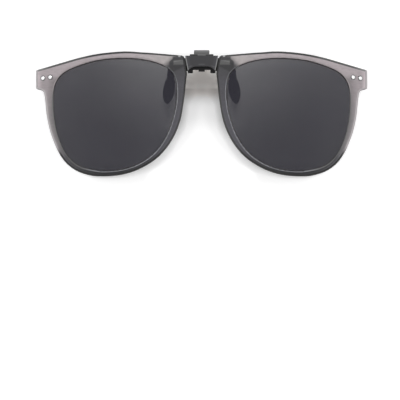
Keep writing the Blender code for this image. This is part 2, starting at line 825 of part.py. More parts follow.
def make_bracket(name):
    """Plate, lips, lugs, hinge ears and detent cam, in one casting."""
    bracket = extruded(name, plate_outline(), "Y", FRONT_Y, PLATE_BACK_Y, PLATE_BEVEL)
    lug = rounded_box((-LUG_END_X, LUG_BOTTOM_Z), (LUG_END_X, LUG_TOP_Z), LUG_CORNER_RADIUS)
    half = LUG_THICKNESS / 2
    lugs = extruded("lugs", lug, "Y", RIM_MIDDLE_Y - half, RIM_MIDDLE_Y + half, ARM_BEVEL)
    window = (EAR_INNER - JOIN_OVERLAP, PLATE_BACK_Y + JOIN_OVERLAP)
    boolean(
        lugs,
        box(
            "between_lugs",
            (-window[0], PLATE_BACK_Y - JOIN_OVERLAP, LUG_BOTTOM_Z - CUT_OVERRUN),
            (window[0], PLATE_BACK_Y + CUT_OVERRUN, LUG_TOP_Z + CUT_OVERRUN),
        ),
        "DIFFERENCE",
    )
    join(bracket, lugs, *pair(make_plate_lip, "plate_lip"))
    wrapped(bracket)
    root_y = PLATE_BACK_Y - JOIN_OVERLAP
    ear_root = Vector((root_y, FLIP_AXIS_Z - EAR_RADIUS)), Vector((root_y, FLIP_AXIS_Z + EAR_RADIUS))
    axis = (FLIP_AXIS_Y, FLIP_AXIS_Z)
    ear = arc(axis, EAR_RADIUS, -QUARTER_TURN, QUARTER_TURN, ROUND_STEPS // 2) + list(reversed(ear_root))
    for side in (-1, 1):
        ends = sorted((side * EAR_INNER, side * EAR_OUTER))
        join(bracket, extruded("ear", ear, "X", *ends))
    cam = rounded_box(
        (FLIP_AXIS_Y - CAM_HALF, FLIP_AXIS_Z - CAM_HALF),
        (FLIP_AXIS_Y + CAM_HALF, FLIP_AXIS_Z + CAM_HALF),
        CAM_CORNER_RADIUS,
    )
    cam_block = extruded("cam", cam, "X", -CAM_HALF_WIDTH, CAM_HALF_WIDTH)
    neck_half = CAM_HALF_WIDTH - JOIN_OVERLAP / 2
    neck = box(
        "neck",
        (-neck_half, root_y, FLIP_AXIS_Z - CAM_NECK_HALF),
        (neck_half, FLIP_AXIS_Y, FLIP_AXIS_Z + CAM_NECK_HALF),
    )
    join(cam_block, neck)
    join(bracket, cam_block)
    bore_end = EAR_OUTER + CUT_OVERRUN
    cut(bracket, rod_x("bracket_bore", BORE_RADIUS, -bore_end, bore_end, FLIP_AXIS_Y, FLIP_AXIS_Z))
    return bracket


# Clamp


def pad_half_at(pad, share):
    """Half a pad's width at a share of its length, from the table."""
    for (low, low_width), (high, high_width) in zip(PAD_SHARES, PAD_SHARES[1:]):
        if share <= high:
            break
    t = (share - low) / (high - low)
    return (low_width + (high_width - low_width) * t) * pad.width / 2


def leg_middle(z):
    """X of the right leg's middle line at a height below the saddle face."""
    return LEG_X - LEG_LEAN * z


def leaf_edges(pad, shares, margin):
    """Outer and inner edge points of the right pad at shares of its length, a margin inside it."""
    outer, inner = [], []
    for share in shares:
        z = pad.top + share * (PAD_TIP_Z - pad.top)
        half = pad_half_at(pad, share) - margin
        outer.append(Vector((leg_middle(z) + half, z)))
        inner.append(Vector((leg_middle(z) - half, z)))
    return outer, inner


def pad_outline(pad):
    """The right pad, a leaf shape that leans outwards."""
    outer, inner = leaf_edges(pad, [share for share, _ in PAD_SHARES], 0)
    return outer + [Vector((leg_middle(PAD_TIP_Z), PAD_TIP_Z))] + list(reversed(inner))


def leg_core(pad, clearance):
    """The flat end of a leg inside its pad, or with no clearance the hollow for it."""
    shares = [share for share, _ in PAD_SHARES if share < CORE_END_SHARE] + [CORE_END_SHARE]
    outer, inner = leaf_edges(pad, shares, PAD_WALL + clearance)
    outer[-1].y += clearance
    inner[-1].y += clearance
    return outer, inner


def arms_outline(pad, nubs):
    """Crossbar and both legs. The front one also has the nubs under its bar."""
    outer_core, inner_core = leg_core(pad, SEAT_GAP)
    neck_end = pad.top + SEAT_GAP
    corners = [(leg_middle(0) + NECK_HALF, BAR_BOTTOM_Z + BAR_HEIGHT, BAR_CORNER_RADIUS)]
    corners.append((leg_middle(neck_end) + NECK_HALF, neck_end, 0))
    corners += [(*point, 0) for point in outer_core + list(reversed(inner_core))]
    corners.append((leg_middle(neck_end) - NECK_HALF, neck_end, 0))
    corners.append((leg_middle(0) - NECK_HALF, BAR_BOTTOM_Z, BAR_CORNER_RADIUS / 2))
    if nubs:
        corners += [
            (NUB_OUTER_HALF, BAR_BOTTOM_Z, NUB_RADIUS),
            (NUB_OUTER_HALF, -NUB_DEPTH, NUB_RADIUS),
            (NUB_INNER_HALF, -NUB_DEPTH, NUB_RADIUS),
            (NUB_INNER_HALF, BAR_BOTTOM_Z, NUB_RADIUS),
            (MIDDLE_NUB_HALF, BAR_BOTTOM_Z, NUB_RADIUS),
            (MIDDLE_NUB_HALF, -MIDDLE_NUB_DEPTH, NUB_RADIUS),
        ]
    corners += [(-x, z, radius) for x, z, radius in reversed(corners)]
    return filleted(corners)


def make_arms(name, y, pad, nubs=False):
    half = ARM_THICKNESS / 2
    return extruded(name, arms_outline(pad, nubs), "Y", y - half, y + half, ARM_BEVEL)


def make_pad(name, pad):
    """A rubber sleeve, with a hollow for the leg's end that is open at the top."""
    outline = smooth_loop(pad_outline(pad), PAD_STEPS)
    half = PAD_THICKNESS / 2
    sleeve = extruded(name, outline, "Y", pad.y - half, pad.y + half, PAD_BEVEL)
    outer, inner = leg_core(pad, 0)
    mouth_z = pad.top + CUT_OVERRUN
    mouth = [Vector((inner[0].x, mouth_z)), Vector((outer[0].x, mouth_z))]
    outline = mouth + outer + list(reversed(inner))
    half = ARM_THICKNESS / 2 + SEAT_GAP
    boolean(sleeve, extruded("hollow", outline, "Y", pad.y - half, pad.y + half), "DIFFERENCE")
    return sleeve


def clamp_side():
    """The clamp block seen from the side: saddle, housing of the flip hinge and cheeks, as (y, z)."""
    rise = math.asin((BLOCK_TOP_Z - FLIP_AXIS_Z) / BARREL_RADIUS)
    front_y = FRONT_ARM_Y - ARM_THICKNESS / 2 + JOIN_OVERLAP
    foot = FULL_TURN - math.acos((front_y - FLIP_AXIS_Y) / BARREL_RADIUS)
    barrel = arc((FLIP_AXIS_Y, FLIP_AXIS_Z), BARREL_RADIUS, rise, foot, ROUND_STEPS)
    cheek = arc((JAW_PIVOT_Y, JAW_PIVOT_Z), HUB_RADIUS, -HALF_TURN / 3, QUARTER_TURN, ROUND_STEPS // 2)
    saddle = [Vector((front_y, 0)), Vector((SADDLE_BACK_Y, 0))]
    return saddle + cheek + [Vector((BLOCK_BACK_Y, BLOCK_TOP_Z))] + barrel


def make_clamp_body(name):
    """Fixed jaw: housing, saddle, cheeks and front arms."""
    body = extruded(name, clamp_side(), "X", -BARREL_HALF, BARREL_HALF, BLOCK_BEVEL)
    join(body, make_arms("front_arms", FRONT_ARM_Y, FRONT_PAD, nubs=True))
    between_cheeks = box(
        "jaw_space",
        (-CHEEK_INNER, BLOCK_BACK_Y, SADDLE_THICKNESS),
        (CHEEK_INNER, JAW_PIVOT_Y + HUB_RADIUS + CUT_OVERRUN, BLOCK_TOP_Z + CUT_OVERRUN),
    )
    slot_half = CAM_HALF_WIDTH + RUNNING_GAP
    cam_slot = box(
        "cam_slot",
        (-slot_half, FLIP_AXIS_Y - BARREL_RADIUS - CUT_OVERRUN, FLIP_AXIS_Z - LEAF_DROP - SEAT_GAP),
        (slot_half, LEAF_Y + SEAT_GAP, FLIP_AXIS_Z + BARREL_RADIUS + CUT_OVERRUN),
    )
    pocket_half = LEAF_HALF_WIDTH + SEAT_GAP
    leaf_pocket = box(
        "leaf_pocket",
        (-pocket_half, LEAF_Y - SEAT_GAP, FLIP_AXIS_Z - LEAF_DROP - SEAT_GAP),
        (pocket_half, LEAF_Y + LEAF_THICKNESS + SEAT_GAP, BLOCK_TOP_Z + CUT_OVERRUN),
    )
    end = BARREL_HALF + CUT_OVERRUN
    cut(
        body,
        between_cheeks,
        cam_slot,
        leaf_pocket,
        rod_x("flip_axle_bore", BORE_RADIUS, -end, end, FLIP_AXIS_Y, FLIP_AXIS_Z),
        rod_x("jaw_pin_bore", BORE_RADIUS, -end, end, JAW_PIVOT_Y, JAW_PIVOT_Z),
    )
    return body


def make_leaf(name):
    outline = rounded_box(
        (-LEAF_HALF_WIDTH, FLIP_AXIS_Z - LEAF_DROP),
        (LEAF_HALF_WIDTH, FLIP_AXIS_Z + LEAF_RISE),
        LEAF_CORNER_RADIUS,
    )
    return extruded(name, outline, "Y", LEAF_Y, LEAF_Y + LEAF_THICKNESS)


def lever_side():
    """The rear jaw's hub and lever seen from the side, as (y, z)."""
    spread = math.acos((LEVER_Y - JAW_PIVOT_Y) / HUB_RADIUS)
    hub = arc((JAW_PIVOT_Y, JAW_PIVOT_Z), HUB_RADIUS, spread, FULL_TURN - spread, ROUND_STEPS)
    back = LEVER_Y + LEVER_THICKNESS
    foot = [Vector((LEVER_Y, LEVER_BOTTOM_Z)), Vector((back, LEVER_BOTTOM_Z))]
    head = [Vector((back, LEVER_SHOULDER_Z)), Vector((LEVER_Y, LEVER_SHOULDER_Z))]
    return hub + foot + head


def cap_middle_y():
    return LEVER_Y + LEVER_THICKNESS / 2


def lever_core(name, grow, bottom):
    """The tongue of the lever inside its cap, or the hollow for it."""
    half_x = CAP_HALF_WIDTH - CAP_WALL - SEAT_GAP + grow
    half_y = CAP_CORE_THICKNESS / 2 + grow
    top = CAP_TOP_Z - CAP_WALL - SEAT_GAP + grow
    middle = cap_middle_y()
    return box(name, (-half_x, middle - half_y, bottom), (half_x, middle + half_y, top))


def make_rear_jaw(name):
    """Moving jaw: hub, lever and rear arms."""
    jaw = extruded(name, lever_side(), "X", -HUB_HALF, HUB_HALF, ARM_BEVEL)
    join(jaw, lever_core("tongue", 0, LEVER_SHOULDER_Z - JOIN_OVERLAP))
    join(jaw, bowed(make_arms("rear_arms", REAR_ARM_Y, REAR_PAD), REAR_ARM_Y))
    spring_space = box(
        "spring_space",
        (-SPRING_SPACE_HALF, JAW_PIVOT_Y - HUB_RADIUS - CUT_OVERRUN, LEVER_BOTTOM_Z),
        (SPRING_SPACE_HALF, LEVER_Y + SEAT_GAP / 2, LEVER_SHOULDER_Z + CUT_OVERRUN),
    )
    end = HUB_HALF + CUT_OVERRUN
    cut(
        jaw,
        spring_space,
        rod_x("rear_jaw_bore", BORE_RADIUS, -end, end, JAW_PIVOT_Y, JAW_PIVOT_Z),
    )
    return jaw


def make_lever_cap(name):
    middle = cap_middle_y()
    low = (-CAP_HALF_WIDTH, middle - CAP_THICKNESS / 2, LEVER_SHOULDER_Z + SEAT_GAP)
    high = (CAP_HALF_WIDTH, middle + CAP_THICKNESS / 2, CAP_TOP_Z)
    cap = box(name, low, high, CAP_BEVEL)
    boolean(cap, lever_core("hollow", SEAT_GAP, LEVER_SHOULDER_Z - CUT_OVERRUN), "DIFFERENCE")
    return cap


def spring_path():
    """Front leg, coil round the jaw pin, rear leg. The legs stand up, and both lean forwards."""
    path = []
    for k in range(3):
        share = 1 - k / 3
        y = JAW_PIVOT_Y - COIL_RADIUS - SPRING_FRONT_LEAN * share
        path.append(Vector((-SPRING_HALF, y, JAW_PIVOT_Z + SPRING_LEG * share)))
    turns = COIL_TURNS + 0.5
    count = round(turns * COIL_POINTS)
    for k in range(count + 1):
        angle = HALF_TURN + FULL_TURN * turns * k / count
        x = -SPRING_HALF + COIL_PITCH * turns * k / count
        y = JAW_PIVOT_Y + COIL_RADIUS * math.cos(angle)
        path.append(Vector((x, y, JAW_PIVOT_Z + COIL_RADIUS * math.sin(angle))))
    for rise, lean in ((0.3, 0), (1, 1)):
        y = JAW_PIVOT_Y + COIL_RADIUS - SPRING_REAR_LEAN * lean
        path.append(Vector((SPRING_HALF, y, JAW_PIVOT_Z + SPRING_LEG * rise)))
    return path


def least_gap(path):
    """Least distance between stretches of the wire that aren't neighbours, surface to surface."""
    least = math.inf
    for i, first in enumerate(path):
        for second in path[i + COIL_POINTS // 2 :]:
            least = min(least, (first - second).length)
    return least - 2 * WIRE_RADIUS


def make_jaw_spring(name):
    path = spring_path()
    curve = bpy.data.curves.new(name, "CURVE")
    curve.dimensions = "3D"
    curve.bevel_depth = WIRE_RADIUS
    curve.bevel_resolution = 1
    curve.use_fill_caps = True
    spline = curve.splines.new("POLY")
    spline.points.add(len(path) - 1)
    for point, place in zip(spline.points, path):
        point.co = (*place, 1)
    print(f"{name}: least gap to itself {least_gap(path) * 1000:.2f} mm")
    guide = new_object(name, curve)
    bpy.context.view_layer.update()
    evaluated = guide.evaluated_get(bpy.context.evaluated_depsgraph_get())
    mesh = bpy.data.meshes.new_from_object(evaluated)
    bpy.data.objects.remove(guide, do_unlink=True)
    bm = bmesh.new()
    bm.from_mesh(mesh)
    bmesh.ops.remove_doubles(bm, verts=bm.verts, dist=WELD)
    bpy.data.meshes.remove(mesh)
    return from_bmesh(name, bm)


# Assembly


def build_front(pivot):
    """Everything that flips up with the lenses."""
    rims = pair(make_rim, "rim")
    for lens in pair(make_lens, "lens"):
        finished(lens, "lens", pivot)
    for side, rim in zip((1, -1), rims):
        hand = "right" if side > 0 else "left"
        cut(rim, lug_socket(f"lug_socket_{hand}", side), screw_hole(f"screw_hole_{hand}", side))
        places = zip(("outer", "inner"), STUD_INSETS, STUD_DROPS)
        for place, inset, drop in places:
            x, z = side * (END_PIECE_X - inset), END_PIECE_TOP_Z - drop
            cut(rim, stud_hole(f"stud_hole_{hand}_{place}", x, z))
            finished(make_stud(f"stud_{hand}_{place}", x, z), "stud", pivot)
        finished(rim, "rim", pivot)
        finished(make_screw(f"lug_screw_{hand}", side), "steel", pivot)
    bracket = make_bracket("bridge_bracket")
    for side, hand in ((1, "right"), (-1, "left")):
        cut(bracket, screw_hole(f"lug_hole_{hand}", side))
    finished(bracket, "bracket", pivot)
    axle_end = EAR_OUTER
    axle = rod_x("flip_axle", PIN_RADIUS, -axle_end, axle_end, FLIP_AXIS_Y, FLIP_AXIS_Z)
    finished(axle, "steel", pivot)


def build_clamp():
    """What stays on the glasses that carry the clip-on."""
    finished(make_clamp_body("clamp_body"), "clamp")
    finished(make_leaf("detent_leaf"), "steel")
    pin_end = BARREL_HALF - SEAT_GAP / 2
    finished(rod_x("jaw_pin", PIN_RADIUS, -pin_end, pin_end, JAW_PIVOT_Y, JAW_PIVOT_Z), "steel")
    finished(make_jaw_spring("jaw_spring"), "steel")
    for pad in pair(lambda name: make_pad(name, FRONT_PAD), "front_pad"):
        finished(pad, "pad")


def build_rear_jaw(pivot):
    """The sprung jaw, opened by its lever."""
    finished(make_rear_jaw("rear_jaw"), "clamp", pivot)
    finished(make_lever_cap("lever_cap"), "cap", pivot)
    for pad in pair(lambda name: make_pad(name, REAR_PAD), "rear_pad"):
        finished(pad, "pad", pivot)


clear_scene()
PARTS = collection("flip_up_clip_on_sunglasses")
CUTTERS = collection("cutters")
MATERIALS = {
    "rim": material("frosted_grey_plastic", (0.30, 0.29, 0.29), 0.55),
    "lens": material("tinted_lens", (0.045, 0.045, 0.055), 0.08, alpha=0.85),
    "bracket": material("gunmetal", (0.075, 0.077, 0.080), 0.38, metallic=0.6),
    "clamp": material("black_plastic", (0.010, 0.010, 0.011), 0.45),
    "cap": material("grey_lever_cap", (0.16, 0.165, 0.17), 0.5),
    "pad": material("black_rubber", (0.018, 0.018, 0.020), 0.8),
    "stud": material("bright_studs", (0.85, 0.85, 0.85), 0.2, metallic=1.0),
    "steel": material("steel", (0.55, 0.55, 0.55), 0.3, metallic=1.0),
}
build_front(pivot_empty("flip_pivot", (0, FLIP_AXIS_Y, FLIP_AXIS_Z)))
build_clamp()
build_rear_jaw(pivot_empty("jaw_pivot", (0, JAW_PIVOT_Y, JAW_PIVOT_Z)))
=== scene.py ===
"""Looks of the flip-up clip-on sunglasses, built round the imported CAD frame.

Objects are in metres. Places and lengths inside materials are in millimetres.
"""

import math

import bmesh
import bpy
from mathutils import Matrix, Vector


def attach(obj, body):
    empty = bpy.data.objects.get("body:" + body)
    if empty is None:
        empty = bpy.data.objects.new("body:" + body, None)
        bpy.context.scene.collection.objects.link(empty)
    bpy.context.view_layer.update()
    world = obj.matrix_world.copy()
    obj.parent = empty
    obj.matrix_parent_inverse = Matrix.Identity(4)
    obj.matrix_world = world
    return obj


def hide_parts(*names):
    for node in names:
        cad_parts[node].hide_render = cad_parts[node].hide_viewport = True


MM = 0.001

# The photograph's frame: what one of its 400 pixels measures, and where the origin is in it
PIXEL = 0.0004374
FRAME_PIXELS = 400
ORIGIN_PIXEL = (201.65, 70.0)
CAMERA_DISTANCE = 1.1
CAMERA_Z = -0.0195
CAMERA_NEAREST = 0.01

# The surface that the glasses lie on, nearer at their lower edge
SURFACE_Y = 0.01215
SURFACE_SLOPE = 0.243
SURFACE_HALF = 1.2
COVER_REACH = 0.03
BRIDGE_SHADE = 0.17

# Rims and lenses, as the frame has them
LENS_X = 0.03775
LENS_Z = -0.01985
OPENING_X = 0.02705
OPENING_Z = 0.0246
WRAP_RADIUS = 0.260
WRAP_BEND = MM / WRAP_RADIUS / 2
BEVEL_Y = -0.0090
FACE_TILT = math.radians(9)

# What the scene adds: a polished band on a rim's face, a border on a lens, and a wider lower edge
RIM_BAND = 0.00042
LENS_BORDER = 0.00095
EDGE_DEPTH = 0.0005
LET_OUT = 0.00028
LET_OUT_START = (34, 46)
LET_OUT_END = (70, 82)
LET_OUT_RING = (1.04, 1.09)
SHARP_ANGLE = math.radians(35)
WELD = 0.000002

# Colours of a rim's painted light and, from the top down, of its painted shade
FROST_LIT_TOP = (0.468, 0.418, 0.433)
FROST_LIT_LOW = (0.360, 0.335, 0.345)
PAINTED_SHADE_TOP = (0.064, 0.063, 0.069)
PAINTED_SHADE_HIGH = (0.084, 0.0815, 0.093)
PAINTED_SHADE_MIDDLE = (0.100, 0.097, 0.112)
PAINTED_SHADE_LOW = (0.040, 0.039, 0.044)
PAINTED_SHADE_BOTTOM = (0.013, 0.0125, 0.015)
BEVEL_LIGHT = (0.60, 0.55, 0.56)
WALL_LIGHT = (0.50, 0.47, 0.48)

# Noise stays mostly between these, and its detail is the same everywhere
NOISE_LOW = 0.3
NOISE_HIGH = 0.7
NOISE_DETAIL = 3.0
NOISE_ROUGHNESS = 0.5
GRAIN_DEPTH = 0.02
PLASTIC_GLOSS = 0.25
LENS_IOR = 1.3

# The lamps: where each stands, how wide it is and how bright a white card is in its light
LAMP_AIM = (0, 0, -0.015)
KEY_LAMP = ("key", (0, -0.46, 0.34), 0.16, 0.35)
SIDE_LAMPS = (
    ("left_box", (-0.25, -0.6, 0.2), 0.10, 0.08),
    ("right_box", (0.25, -0.6, 0.2), 0.10, 0.08),
)
WORLD_LEVEL = 0.56


class Nodes:
    """Short calls for building the node tree of a material or a world."""

    def __init__(self, owner):
        owner.use_nodes = True
        self.owner = owner
        self.tree = owner.node_tree
        self.cache = {}

    def add(self, kind, **settings):
        node = self.tree.nodes.new(f"ShaderNode{kind}")
        for key, value in settings.items():
            setattr(node, key, value)
        return node

    def put(self, socket, value):
        """A link, a colour or a number into a socket."""
        if isinstance(value, bpy.types.NodeSocket):
            self.tree.links.new(value, socket)
        elif isinstance(value, tuple) and len(value) == 3 and socket.type == "RGBA":
            socket.default_value = (*value, 1.0)
        else:
            socket.default_value = value

    def surface(self, **values):
        """The material, once its shader has these values."""
        shader = self.tree.nodes["Principled BSDF"]
        for key, value in values.items():
            self.put(shader.inputs[key.replace("_", " ")], value)
        return self.owner

    def math(self, operation, *values):
        node = self.add("Math", operation=operation)
        for socket, value in zip(node.inputs, values):
            self.put(socket, value)
        return node.outputs[0]

    def plus(self, a, b):
        return self.math("ADD", a, b)

    def minus(self, a, b):
        return self.math("SUBTRACT", a, b)

    def times(self, a, b):
        return self.math("MULTIPLY", a, b)

    def flip(self, a):
        return self.math("SUBTRACT", 1.0, a)

    def size(self, a):
        return self.math("ABSOLUTE", a)

    def most(self, first, *others):
        """The largest of several values."""
        for other in others:
            first = self.math("MAXIMUM", first, other)
        return first

    def distance(self, a, b):
        return self.math("SQRT", self.plus(self.times(a, a), self.times(b, b)))

    def place(self):
        """X, Y and Z of the point on the object."""
        if "place" not in self.cache:
            scaled = self.add("VectorMath", operation="SCALE")
            self.put(scaled.inputs[0], self.add("TexCoord").outputs["Object"])
            scaled.inputs["Scale"].default_value = 1 / MM
            split = self.add("SeparateXYZ")
            self.put(split.inputs[0], scaled.outputs[0])
            self.cache["point"] = scaled.outputs[0]
            self.cache["place"] = tuple(split.outputs)
        return self.cache["place"]

    def facing(self):
        """X, Y and Z of the object's own normal."""
        if "facing" not in self.cache:
            split = self.add("SeparateXYZ")
            self.put(split.inputs[0], self.add("TexCoord").outputs["Normal"])
            self.cache["facing"] = tuple(split.outputs)
        return self.cache["facing"]

    def front(self):
        """How squarely the surface faces along the wrapped front, with 1 for the front itself."""
        x, _, z = self.place()
        normal_x, normal_y, normal_z = self.facing()
        tilt_x = self.times(x, MM / WRAP_RADIUS)
        tilt_z = self.times(z, MM / WRAP_RADIUS)
        tilted = self.plus(self.times(normal_x, tilt_x), self.times(normal_z, tilt_z))
        square = self.plus(self.plus(self.times(tilt_x, tilt_x), self.times(tilt_z, tilt_z)), 1.0)
        return self.math("DIVIDE", self.minus(tilted, normal_y), self.math("SQRT", square))

    def slant(self, x_part, z_part):
        """How far the point lies along a slanted line, the same on both sides."""
        x, _, z = self.place()
        return self.plus(self.times(self.size(x), x_part), self.times(z, z_part))

    def noise(self, scale, stretch=None):
        """Noise with this many features in a millimetre, drawn out by stretch."""
        self.place()
        point = self.cache["point"]
        if stretch:
            drawn = self.add("VectorMath", operation="MULTIPLY")
            self.put(drawn.inputs[0], point)
            drawn.inputs[1].default_value = stretch
            point = drawn.outputs[0]
        node = self.add("TexNoise")
        self.put(node.inputs["Vector"], point)
        self.put(node.inputs["Scale"], scale)
        self.put(node.inputs["Detail"], NOISE_DETAIL)
        self.put(node.inputs["Roughness"], NOISE_ROUGHNESS)
        return node.outputs["Fac"]

    def step(self, value, low, high, start=0.0, end=1.0):
        """Value eased from start to end while it goes from low to high."""
        node = self.add("MapRange", interpolation_type="SMOOTHSTEP")
        self.put(node.inputs["Value"], value)
        self.put(node.inputs["From Min"], low)
        self.put(node.inputs["From Max"], high)
        self.put(node.inputs["To Min"], start)
        self.put(node.inputs["To Max"], end)
        return node.outputs["Result"]

    def fall(self, value, low, high):
        """1 below low and 0 above high."""
        return self.step(value, low, high, 1.0, 0.0)

    def near(self, value, middle, inner, outer, level=1.0):
        """Level within inner of the middle, and 0 from outer on."""
        return self.step(self.size(self.minus(value, middle)), inner, outer, level, 0.0)

    def vary(self, noise, start=0.0, end=1.0):
        """Noise spread from start to end."""
        return self.step(noise, NOISE_LOW, NOISE_HIGH, start, end)

    def mix(self, factor, first, second):
        """A colour between two."""
        node = self.add("Mix", data_type="RGBA")
        self.put(node.inputs[0], factor)
        self.put(node.inputs[6], first)
        self.put(node.inputs[7], second)
        return node.outputs[2]

    def blend(self, first, second):
        """Two colours multiplied."""
        node = self.add("Mix", data_type="RGBA", blend_type="MULTIPLY")
        node.inputs[0].default_value = 1.0
        self.put(node.inputs[6], first)
        self.put(node.inputs[7], second)
        return node.outputs[2]

    def bump(self, height, strength):
        node = self.add("Bump")
        self.put(node.inputs["Height"], height)
        node.inputs["Strength"].default_value = strength
        node.inputs["Distance"].default_value = GRAIN_DEPTH * MM
        return node.outputs["Normal"]


def new_material(name):
    return Nodes(bpy.data.materials.new(name))


def grey(value):
    return (value, value, value)


def rim_painted_light(n):
    """0 where a rim has painted shade, by the nose and below, and 1 where it has painted light."""
    past_nose = n.step(n.slant(0.67, 0.743), 10.6, 13.7)
    past_bottom = n.step(n.slant(0.45, 0.89), -10.0, 1.0)
    return n.times(past_nose, past_bottom)


def opening_top(n):
    """1 along the top of a rim's opening, where the rim has painted light."""
    z = n.place()[2]
    return n.times(rim_painted_light(n), n.step(z, -12.0, -6.0))


def rim_painted_shade(n):
    """Colour of a rim's painted shade, deepest along the bottom and a little deeper at the nose."""
    x, _, z = n.place()
    tone = n.mix(n.step(z, -46.0, -41.5), PAINTED_SHADE_BOTTOM, PAINTED_SHADE_LOW)
    tone = n.mix(n.step(z, -41.5, -32.0), tone, PAINTED_SHADE_MIDDLE)
    outer_side = n.step(n.size(x), 48.0, 57.0)
    tone = n.blend(tone, n.mix(outer_side, grey(1.0), grey(1.35)))
    tone = n.mix(n.step(z, -18.0, -9.0), tone, PAINTED_SHADE_HIGH)
    return n.mix(n.step(z, -7.0, 0.0), tone, PAINTED_SHADE_TOP)


def wall_shade(n):
    """What the light part is multiplied by: a dark curve inside the outer wall, and a lit tip."""
    x, _, z = n.place()
    aside = n.size(x)
    height = n.plus(z, 13.0)
    into_wall = n.plus(n.minus(aside, 65.2), n.times(n.times(height, height), 0.0086))
    wall = n.mix(n.step(z, -16.0, -9.0), grey(1.10), grey(0.88))
    shade = n.mix(n.step(into_wall, -0.2, 3.6), grey(0.62), wall)
    shade = n.mix(n.step(z, -5.0, -1.5), shade, grey(1.0))
    tip = n.times(n.step(aside, 69.5, 71.7), n.step(z, -9.0, -8.0))
    shade = n.mix(tip, shade, grey(1.27))
    return n.mix(n.step(aside, 58.0, 61.0), grey(1.0), shade)


def with_socket(n, face):
    """The face's colour and, over it, the socket for the lug: its thin wall as a paler window, with
    a painted shadow round it and a painted highlight across it.
    """
    x, _, z = n.place()
    aside = n.size(x)
    box_x = n.minus(n.size(n.minus(aside, 9.6)), 2.7)
    box_z = n.minus(n.size(n.minus(z, 3.15)), 1.05)
    away = n.most(box_x, box_z)
    beside = n.minus(box_x, n.step(z, 3.2, 5.0, 1.3, -0.1))
    under = n.minus(n.minus(1.5, n.times(n.minus(aside, 8.6), 0.5)), z)
    socket_shade_mask = n.fall(n.most(beside, n.times(under, 0.6)), 0.0, 0.8)
    # Painted shadow round the socket
    shadow = n.mix(n.step(z, 2.6, 3.8), (0.030, 0.0295, 0.032), (0.046, 0.045, 0.048))
    face = n.mix(socket_shade_mask, face, shadow)
    face = n.mix(n.step(away, 0.35, -0.55), face, grey(0.118))
    # A painted highlight across the window
    across = n.plus(z, n.times(aside, 0.22))
    streak = n.times(n.near(across, 6.1, 0.1, 0.45), n.step(away, 0.0, -0.3))
    return n.mix(streak, face, grey(0.19))


def frosted_rim():
    """Frosted grey plastic, with painted shade towards the nose and the lower edge and painted
    light on the rest.
    """
    n = new_material("frosted_rim")
    x, _, z = n.place()
    streaks = n.step(n.noise(0.5, stretch=(1.0, 1.0, 2.5)), 0.35, 0.65, 0.94, 1.06)
    # Painted light, paler at the top than lower down
    light = n.mix(n.step(z, -22.0, -4.0), FROST_LIT_LOW, FROST_LIT_TOP)
    light = n.blend(light, wall_shade(n))
    greener = n.blend(light, (0.99, 1.03, 0.985))
    light = n.mix(n.step(n.size(x), 16.0, 30.0), greener, light)
    face = with_socket(n, n.mix(rim_painted_light(n), rim_painted_shade(n), light))
    grain = n.noise(6.0)
    return n.surface(
        Base_Color=n.blend(face, streaks),
        Roughness=n.vary(grain, 0.42, 0.52),
        Transmission_Weight=0.3,
        IOR=1.4,
        Normal=n.bump(grain, 0.1),
    )


def polished(n, tone, specks):
    """Smooth plastic of this colour, with some greyer specks."""
    speck = n.noise(3.0)
    return n.surface(
        Base_Color=n.mix(n.vary(speck, 0.0, specks), tone, grey(0.2)),
        Roughness=n.vary(speck, 0.30, 0.38),
        Specular_IOR_Level=PLASTIC_GLOSS,
    )


def rim_outline(n):
    """Colour of a rim's outer edge: dark, but lit on the wall, the tip and under the end piece."""
    x, _, z = n.place()
    aside = n.size(x)
    nasal = n.times(n.fall(aside, 14.0, 20.0), n.fall(z, -12.0, -7.0))
    dark = n.mix(nasal, grey(0.022), grey(0.055))
    end_piece = n.times(n.step(aside, 46.0, 54.0), n.step(z, -9.0, -6.0))
    dark = n.mix(end_piece, dark, n.mix(n.step(aside, 65.0, 71.5), grey(0.09), grey(0.24)))

    out_x = n.minus(aside, LENS_X / MM)
    out_z = n.minus(z, LENS_Z / MM)
    sideways = n.math("DIVIDE", out_x, n.distance(out_x, out_z))
    wall = n.times(n.step(sideways, 0.80, 0.90), n.fall(z, -9.5, -8.0))
    tip = n.step(aside, 71.7, 71.9)
    shelf = n.times(n.fall(z, -7.6, -7.2), n.fall(n.size(n.facing()[2]), 0.25, 0.5))
    shelf = n.times(shelf, n.step(aside, 62.0, 64.0))
    outline = n.mix(n.most(wall, tip, shelf), dark, WALL_LIGHT)

    glint = n.times(n.near(aside, 9.7, 0.1, 0.8), n.step(z, 5.0, 5.4))
    return n.mix(glint, outline, grey(0.35))


def rim_edge():
    """The polished edges of a rim: its outline, and a line of light round the lens."""
    n = new_material("rim_edge")
    x, _, z = n.place()
    normal_x, _, normal_z = n.facing()
    side_x = n.times(normal_x, n.math("SIGN", x))
    out_x = n.minus(n.size(x), LENS_X / MM)
    out_z = n.minus(z, LENS_Z / MM)
    outward = n.plus(n.times(side_x, out_x), n.times(normal_z, out_z))
    lit = n.mix(n.step(z, -12.0, -6.0), grey(0.24), BEVEL_LIGHT)
    bezel = n.mix(rim_painted_light(n), rim_painted_shade(n), lit)
    return polished(n, n.mix(n.step(outward, -1.0, 1.0), bezel, rim_outline(n)), 0.06)


